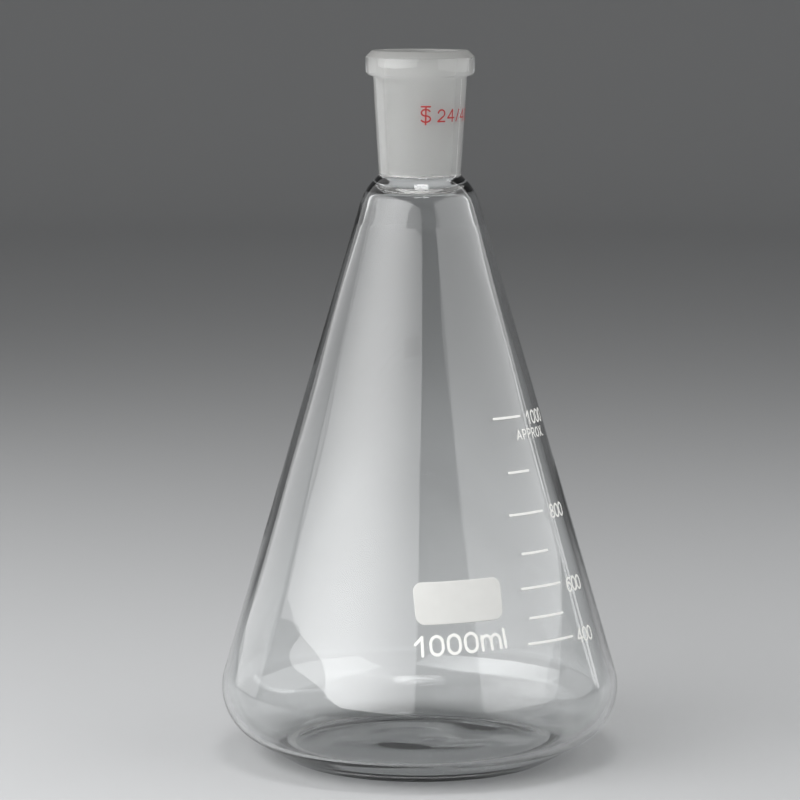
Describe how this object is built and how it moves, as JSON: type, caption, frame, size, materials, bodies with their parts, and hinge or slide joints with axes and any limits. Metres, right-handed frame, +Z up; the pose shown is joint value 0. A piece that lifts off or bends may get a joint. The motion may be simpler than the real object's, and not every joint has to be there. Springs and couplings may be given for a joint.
{
  "type": "erlenmeyer flask",
  "caption": "Conical laboratory flask in clear glass with a flat base, a ground taper socket with a thick collar, and white enamel graduations with a writing spot.",
  "frame": {"origin": "centre of the ring that the flask stands on, at table height", "axes": "+Z up along the axis of the flask; -Y towards the front, with the graduations on its right-hand side; +X to the right"},
  "size_m": [0.13, 0.13, 0.23],
  "materials": {
    "borosilicate_glass": "clear, fire polished; ground matt inside the socket and on the rim",
    "white_enamel": "fired enamel print, satin"
  },
  "bodies": {
    "root": {"flask": "borosilicate_glass", "marking_spot": "white_enamel", "graduation_lines": "white_enamel"}
  },
  "joints": []
}
